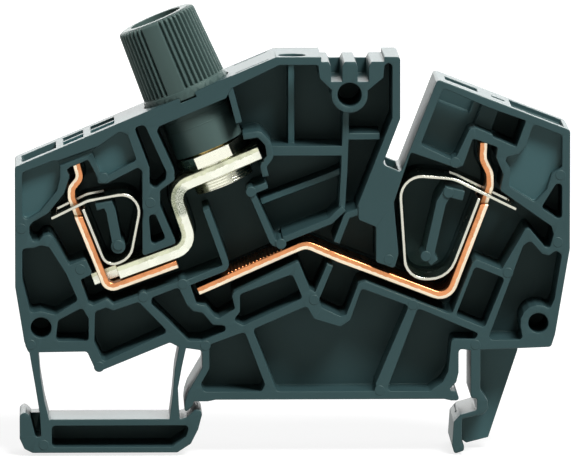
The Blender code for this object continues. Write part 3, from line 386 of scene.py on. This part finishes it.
def deepen_flutes(bm, deeper):
    """Push the bottom of each flute, 0.2 to 0.34 mm under the ridges, further towards the axis."""
    top = max(up_axis(vert.co) for vert in bm.verts)
    grip = [vert for vert in bm.verts if up_axis(vert.co) > 0.5 * MM]
    for vert in grip:
        radial = from_axis(vert.co)
        foot_share = 1 - (up_axis(vert.co) - GRIP_FOOT * MM) / (top - GRIP_FOOT * MM)
        ridge = (GRIP_RADIUS + GRIP_TAPER * foot_share) * MM
        if ridge - 0.34 * MM < radial.length < ridge - 0.2 * MM:
            vert.co -= radial.normalized() * deeper


def ring(bm, height, radius, width, stand_out):
    """One V-shaped ring about the cap's axis, half sunk in the round face that it stands on."""
    side = CAP_AXIS.orthogonal().normalized()
    middle = CAP_POINT + CAP_AXIS * height
    corners = [bm.verts.new(middle + side * (radius - stand_out) + CAP_AXIS * width / 2),
               bm.verts.new(middle + side * (radius + stand_out)),
               bm.verts.new(middle + side * (radius - stand_out) - CAP_AXIS * width / 2)]
    edges = [bm.edges.new((corners[index], corners[(index + 1) % 3])) for index in range(3)]
    bmesh.ops.spin(bm, geom=corners + edges, cent=middle, axis=CAP_AXIS, angle=2 * math.pi, steps=64,
                   use_merge=True)


def rings(bm, heights, radius, width, stand_out):
    """Rings at several heights, with their faces outwards."""
    before = set(bm.faces)
    for height in heights:
        ring(bm, height, radius, width, stand_out)
    bmesh.ops.recalc_face_normals(bm, faces=[face for face in bm.faces if face not in before])


def knurl(bm, start, end, pitch, height):
    """Ridges across a strip's broad side, from one point of its edge line to another."""
    run = end - start
    turn = Matrix.Rotation(-math.atan2(run.z, run.x) + math.radians(45), 4, "Y")
    count = int(run.length / pitch)
    for index in range(count + 1):
        place = Matrix.Translation(start + run * (index / count)) @ turn
        size = Matrix.Diagonal((height * 1.41, STRIP_WIDTH - 0.6 * MM, height * 1.41, 1.0))
        bmesh.ops.create_cube(bm, size=1.0, matrix=place @ size)


def ejector_bosses(bm, places, radius):
    """Round bosses under the ejector pins, standing through the ribs and a hair proud of the open side."""
    middle = FRONT_Y - BOSS_PROUD * MM + BOSS_LENGTH * MM / 2
    across = Matrix.Rotation(math.radians(90), 4, "X")
    for x, z in places:
        place = Matrix.Translation((x * MM, middle, z * MM)) @ across
        bmesh.ops.create_cone(bm, cap_ends=True, segments=28, radius1=radius, radius2=radius,
                              depth=BOSS_LENGTH * MM, matrix=place)


def settings_of(context):
    """The block's settings on the scene."""
    return context.scene.terminal_block


class TERMINAL_OT_housing(bpy.types.Operator):
    """Finish the ribbed moulding"""

    bl_idname = "terminal.housing"
    bl_label = "Housing"

    def execute(self, context):
        chosen = settings_of(context)
        eroded = moulded_polyamide("moulded_polyamide", tuple(chosen.moulding), 0.45)
        # The second material's lighter colour is painted light on the panel floors and webs.
        polished_lit = moulded_polyamide("polished_lit_polyamide", tuple(chosen.panels), 0.34)
        bm = copied("housing")
        polished_lit_floors(bm)
        ejector_bosses(bm, RIB_PINS, chosen.pin_radius)
        finished("housing_moulding", bm, [eroded, polished_lit], "block", ["housing"],
                 chosen.moulding_edge)
        return {"FINISHED"}


class TERMINAL_OT_bars(bpy.types.Operator):
    """Finish the copper bars and the tinned socket bar"""

    bl_idname = "terminal.bars"
    bl_label = "Current bars"

    def execute(self, context):
        chosen = settings_of(context)
        copper = rolled_metal("rolled_copper", tuple(chosen.copper), 0.3, tuple(chosen.sheared_copper_highlight),
                              share=0.4, cloudy=0.74)
        tin = rolled_metal("tinned_copper", tuple(chosen.tin), 0.28, tuple(chosen.sheared_tin_highlight),
                           share=0.6, cloudy=0.62, bend_shade=tuple(chosen.bend_shade_tin))
        for node, material, slot in (("left_clamp_bar", copper, "copper"),
                                     ("right_current_bar", copper, "copper"),
                                     ("socket_bar", tin, "tinned_copper")):
            bm = copied(node)
            number_sides(bm)
            if node == "right_current_bar":
                first, last = (Vector((x * MM, STRIP_MIDDLE_Y, z * MM)) for x, z in KNURL_ENDS)
                knurl(bm, first, last, chosen.knurl_pitch, 0.2 * MM)
            finished(f"{node}_stamped", bm, [material], "block", [node], chosen.metal_edge)
        return {"FINISHED"}


class TERMINAL_OT_springs(bpy.types.Operator):
    """Finish the two clamp springs"""

    bl_idname = "terminal.springs"
    bl_label = "Clamp springs"

    def execute(self, context):
        chosen = settings_of(context)
        steel = rolled_metal("spring_steel", tuple(chosen.steel), 0.2)
        for node in ("left_clamp_spring", "right_clamp_spring"):
            finished(f"{node}_strip", copied(node), [steel], "block", [node],
                     chosen.metal_edge * 0.8)
        return {"FINISHED"}


class TERMINAL_OT_nut(bpy.types.Operator):
    """Finish the hexagon nut of the fuse socket"""

    bl_idname = "terminal.nut"
    bl_label = "Socket nut"

    def execute(self, context):
        chosen = settings_of(context)
        nickel = rolled_metal("nickel_plating", tuple(chosen.nickel), 0.22)
        bm = copied("socket_nut")
        foot = min(up_axis(vert.co) for vert in bm.verts)
        radius = max(from_axis(vert.co).length for vert in bm.verts if up_axis(vert.co) < foot + 0.1 * MM)
        pitch = chosen.thread_pitch
        rings(bm, [foot + pitch * (turn + 0.5) for turn in range(4)], radius, pitch * 0.9, 0.08 * MM)
        finished("socket_nut_plated", bm, [nickel], "block", ["socket_nut"],
                 chosen.metal_edge * 0.5)
        return {"FINISHED"}


class TERMINAL_OT_cap(bpy.types.Operator):
    """Finish the fluted cap and the metal parts inside it"""

    bl_idname = "terminal.cap"
    bl_label = "Fuse cap"

    def execute(self, context):
        chosen = settings_of(context)
        plastic = moulded_polyamide("cap_polyamide", tuple(chosen.cap), 0.45)
        brass = rolled_metal("turned_brass", tuple(chosen.brass), 0.25)
        wire = rolled_metal("spring_wire", tuple(chosen.steel), 0.25)
        bm = copied("fuse_cap")
        foot = min(up_axis(vert.co) for vert in bm.verts)
        stem = max(from_axis(vert.co).length for vert in bm.verts if up_axis(vert.co) < foot + 0.1 * MM)
        deepen_flutes(bm, 0.2 * MM)
        rings(bm, [foot + 3.3 * MM, foot + 4.5 * MM], stem, 0.3 * MM, 0.05 * MM)
        finished("fuse_cap_moulding", bm, [plastic], "cap", ["fuse_cap"],
                 chosen.moulding_edge * 0.7)
        finished("contact_sleeve_turned", copied("cap_contact_sleeve"), [brass], "cap",
                 ["cap_contact_sleeve"], chosen.moulding_edge)
        finished("contact_disc_turned", copied("cap_contact_disc"), [brass], "contact",
                 ["cap_contact_disc"], chosen.moulding_edge)
        coil = copied("cap_pressure_spring")
        spring = finished("pressure_spring_wire", coil, [wire], "cap_carriage",
                          ["cap_pressure_spring"], 0.0, 60.0)
        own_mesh(spring)
        return {"FINISHED"}


# Stage

def camera(chosen):
    """Long lens at the photographed angle, the open side's middle in the frame's middle."""
    target = Vector((-6.14 * MM, FRONT_Y, 21.5 * MM))
    azimuth = chosen.camera_azimuth
    elevation = chosen.camera_elevation
    away = Vector((math.sin(azimuth) * math.cos(elevation), -math.cos(azimuth) * math.cos(elevation),
                   math.sin(elevation)))
    data = bpy.data.cameras.new("photo camera")
    data.sensor_width = 36.0
    data.lens = PIXELS_PER_MM / MM * chosen.camera_distance * data.sensor_width / FRAME_WIDTH
    data.clip_start = 0.05
    data.clip_end = 20.0
    made = bpy.data.objects.new("photo camera", data)
    made.location = target + away * chosen.camera_distance
    made.rotation_euler = (-away).to_track_quat("-Z", "Y").to_euler()
    bpy.context.scene.collection.objects.link(made)
    bpy.context.scene.camera = made


def softbox(name, position, target, size, watts):
    """Rectangular area lamp that faces a point."""
    data = bpy.data.lights.new(name, "AREA")
    data.shape = "RECTANGLE"
    data.size = size[0]
    data.size_y = size[1]
    data.energy = watts
    lamp = bpy.data.objects.new(name, data)
    lamp.location = position
    lamp.rotation_euler = (Vector(target) - Vector(position)).to_track_quat("-Z", "Y").to_euler()
    bpy.context.scene.collection.objects.link(lamp)


def white_where_seen(tree, seen, lit):
    """Strength that is one value where a ray shows the backdrop and another where it only lights."""
    path = add_node(tree, "ShaderNodeLightPath")
    first = add_node(tree, "ShaderNodeMath", {0: path.outputs["Is Camera Ray"],
                                              1: path.outputs["Is Glossy Ray"]}, operation="MAXIMUM")
    either = add_node(tree, "ShaderNodeMath", {0: first.outputs[0], 1: path.outputs["Is Transmission Ray"]},
                      operation="MAXIMUM")
    # What bright metal throws on to the moulding is light, not a view of the backdrop.
    straight = add_node(tree, "ShaderNodeMath", {0: either.outputs[0], 1: path.outputs["Diffuse Depth"]},
                        operation="SUBTRACT", use_clamp=True)
    strength = add_node(tree, "ShaderNodeMapRange", {"Value": straight.outputs[0], "To Min": lit,
                                                     "To Max": seen})
    return strength.outputs["Result"]


def studio_world():
    """White backdrop behind the block, the dim room on the camera's side, and a soft fill where it lights."""
    world = bpy.data.worlds.new("studio")
    world.use_nodes = True
    bpy.context.scene.world = world
    tree = world.node_tree
    background = tree.nodes["Background"]
    background.inputs["Color"].default_value = (1.0, 1.0, 1.0, 1.0)
    place = add_node(tree, "ShaderNodeTexCoord")
    depth = add_node(tree, "ShaderNodeSeparateXYZ", {"Vector": place.outputs["Object"]})
    room = add_node(tree, "ShaderNodeMapRange", {"Value": depth.outputs["Y"], "From Min": -0.6, "From Max": 0.1,
                                                 "To Min": 0.45, "To Max": 1.0})
    mirrored = add_node(tree, "ShaderNodeLightPath")
    shown = add_node(tree, "ShaderNodeMath", {0: room.outputs["Result"], 1: mirrored.outputs["Is Camera Ray"]},
                     operation="MAXIMUM")
    seen = white_where_seen(tree, 1.0, 0.06)
    strength = add_node(tree, "ShaderNodeMath", {0: seen, 1: shown.outputs[0]}, operation="MULTIPLY")
    tree.links.new(strength.outputs[0], background.inputs["Strength"])


def studio_floor():
    """Pale sweep under the feet that fades into the white backdrop."""
    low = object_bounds()[0]
    bm = bmesh.new()
    bmesh.ops.create_grid(bm, x_segments=8, y_segments=8, size=3.0)
    bmesh.ops.translate(bm, vec=(0, 0, low.z - 0.0002), verts=bm.verts)
    mesh = bpy.data.meshes.new("studio_floor")
    bm.to_mesh(mesh)
    bm.free()
    made, tree, shader = shader_of("pale_paper")
    grain = add_node(tree, "ShaderNodeTexNoise", {"Vector": pattern_place(tree), "Scale": per_size(3.0)})
    paper = tinted(tree, (0.28, 0.28, 0.28), grain.outputs["Fac"], 0.99, 1.01)
    tree.links.new(paper, shader.inputs["Base Color"])
    shader.inputs["Roughness"].default_value = 0.9
    shader.inputs["Emission Color"].default_value = (1.0, 1.0, 1.0, 1.0)
    # Near the block the paper is dim enough to keep its shadow; further out it is as white as the backdrop.
    place = add_node(tree, "ShaderNodeTexCoord")
    reach = add_node(tree, "ShaderNodeVectorMath", {0: place.outputs["Object"]}, operation="LENGTH")
    whiter = add_node(tree, "ShaderNodeMapRange", {"Value": reach.outputs["Value"], "From Min": 0.1,
                                                   "From Max": 0.45, "To Min": 0.78, "To Max": 1.0})
    seen = white_where_seen(tree, 1.0, 0.0)
    strength = add_node(tree, "ShaderNodeMath", {0: seen, 1: whiter.outputs["Result"]}, operation="MULTIPLY")
    tree.links.new(strength.outputs[0], shader.inputs["Emission Strength"])
    mesh.materials.append(made)
    floor = bpy.data.objects.new("studio_floor", mesh)
    bpy.context.scene.collection.objects.link(floor)
    floor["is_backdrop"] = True


class TERMINAL_OT_stage(bpy.types.Operator):
    """Set up the camera, the soft lamps, the backdrop and the floor"""

    bl_idname = "terminal.stage"
    bl_label = "Stage"

    def execute(self, context):
        camera(settings_of(context))
        studio_world()
        studio_floor()
        middle = (-0.005, 0.0, 0.02)
        softbox("key softbox", (0.4, -0.6, 0.95), middle, (0.5, 0.4), 16.0)
        softbox("back softbox", (0.1, 1.0, 0.3), middle, (1.4, 0.4), 6.5)
        context.scene.view_settings.view_transform = "Standard"
        return {"FINISHED"}


class TERMINAL_PT_sidebar(bpy.types.Panel):
    """Lists the steps that finish the terminal block"""

    bl_idname = "TERMINAL_PT_sidebar"
    bl_label = "Terminal block"
    bl_space_type = "VIEW_3D"
    bl_region_type = "UI"
    bl_category = "Terminal block"

    def draw(self, context):
        chosen = settings_of(context)
        for name in chosen.__annotations__:
            self.layout.prop(chosen, name)
        for step in STEPS:
            self.layout.operator(step.bl_idname)


STEPS = (TERMINAL_OT_housing, TERMINAL_OT_bars, TERMINAL_OT_springs, TERMINAL_OT_nut, TERMINAL_OT_cap,
         TERMINAL_OT_stage)
CLASSES = (TerminalBlockSettings, *STEPS, TERMINAL_PT_sidebar)


def register():
    """Register the classes and put the settings on the scene."""
    for item in CLASSES:
        bpy.utils.register_class(item)
    bpy.types.Scene.terminal_block = bpy.props.PointerProperty(type=TerminalBlockSettings)


def unregister():
    """Take the settings off the scene and unregister the classes."""
    del bpy.types.Scene.terminal_block
    for item in reversed(CLASSES):
        bpy.utils.unregister_class(item)


def main():
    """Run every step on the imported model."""
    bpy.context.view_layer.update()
    register()
    bpy.ops.terminal.housing()
    bpy.ops.terminal.bars()
    bpy.ops.terminal.springs()
    bpy.ops.terminal.nut()
    bpy.ops.terminal.cap()
    bpy.ops.terminal.stage()


if __name__ == "__main__":
    main()
